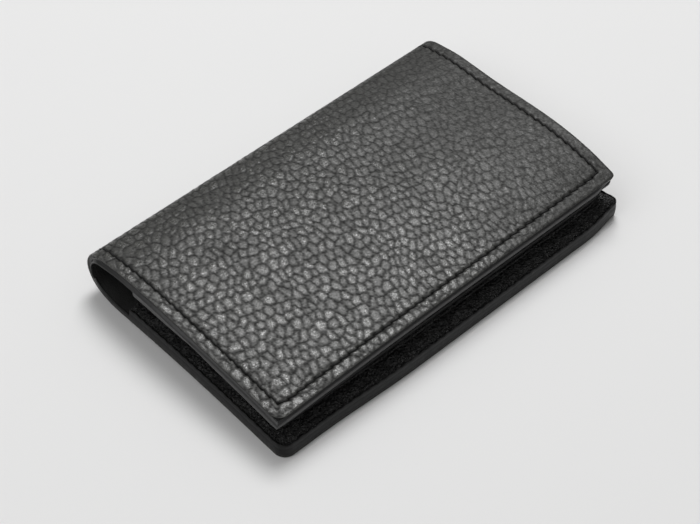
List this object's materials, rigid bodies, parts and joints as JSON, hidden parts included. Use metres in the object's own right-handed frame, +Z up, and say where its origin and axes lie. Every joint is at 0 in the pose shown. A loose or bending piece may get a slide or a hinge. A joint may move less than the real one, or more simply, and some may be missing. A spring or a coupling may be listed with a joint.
{
  "type": "business card case",
  "caption": "Slim folded business card case in pebbled black leather: a gusseted card pocket on the back cover, a flat slip pocket in the front cover and a rounded spine.",
  "frame": {"origin": "centre of the closed case's box, on the surface that it lies on", "axes": "+X along the spine, +Y from the open long edge towards the spine, +Z up through the closed covers"},
  "size_m": [0.11, 0.07, 0.016],
  "materials": {
    "outer_leather": "black shrunken-grain cowhide with flat glossy pebbles and matt grooves, painted edges",
    "lining_leather": "smooth black lining leather, matt",
    "gusset_leather": "soft black leather, folded",
    "stiffener_board": "thin grey-brown stiffener card, hidden",
    "thread": "waxed black polyester thread"
  },
  "bodies": {
    "back_cover": {"back_outer_leather": "outer_leather", "back_stiffener_board": "stiffener_board", "back_lining": "lining_leather", "back_seam_thread": "thread", "gusset_lower_flange": "gusset_leather", "gusset_bellows": "gusset_leather"},
    "spine_back": {"spine_leather_back": "outer_leather", "spine_lining_back": "lining_leather", "spine_seam_back_left": "thread", "spine_seam_back_right": "thread"},
    "spine_front": {"spine_leather_front": "outer_leather", "spine_lining_front": "lining_leather", "spine_seam_front_left": "thread", "spine_seam_front_right": "thread"},
    "front_cover": {"front_outer_leather": "outer_leather", "front_stiffener_board": "stiffener_board", "front_lining": "lining_leather", "front_seam_thread": "thread", "front_pocket_panel": "lining_leather", "front_pocket_mouth_seam": "thread"},
    "card_pocket": {"gusset_upper_flange": "gusset_leather", "card_pocket_lining": "lining_leather", "card_pocket_panel": "outer_leather", "card_pocket_seam_thread": "thread", "card_pocket_mouth_seam": "thread"}
  },
  "joints": [
    {"name": "back_fold", "type": "hinge", "parent": "back_cover", "child": "spine_back", "pos_m": [0, 0.03093, 0.00098], "axis": [-1, 0, 0], "range_deg": [0, 60]},
    {"name": "middle_fold", "type": "hinge", "parent": "spine_back", "child": "spine_front", "pos_m": [0, 0.03534, 0.008], "axis": [-1, 0, 0], "range_deg": [0, 60]},
    {"name": "front_fold", "type": "hinge", "parent": "spine_front", "child": "front_cover", "pos_m": [0, 0.03093, 0.01502], "axis": [-1, 0, 0], "range_deg": [0, 60]},
    {"name": "pocket_gape", "type": "hinge", "parent": "back_cover", "child": "card_pocket", "pos_m": [0, -0.0312, 0.006], "axis": [1, 0, 0], "range_deg": [0, 8], "deforming": ["gusset_bellows"]}
  ],
  "couplings": [
    {"joint": "middle_fold", "follows": "back_fold", "ratio": 1},
    {"joint": "front_fold", "follows": "back_fold", "ratio": 1},
    {"joint": "pocket_gape", "follows": "back_fold", "ratio": 0.13333}
  ]
}
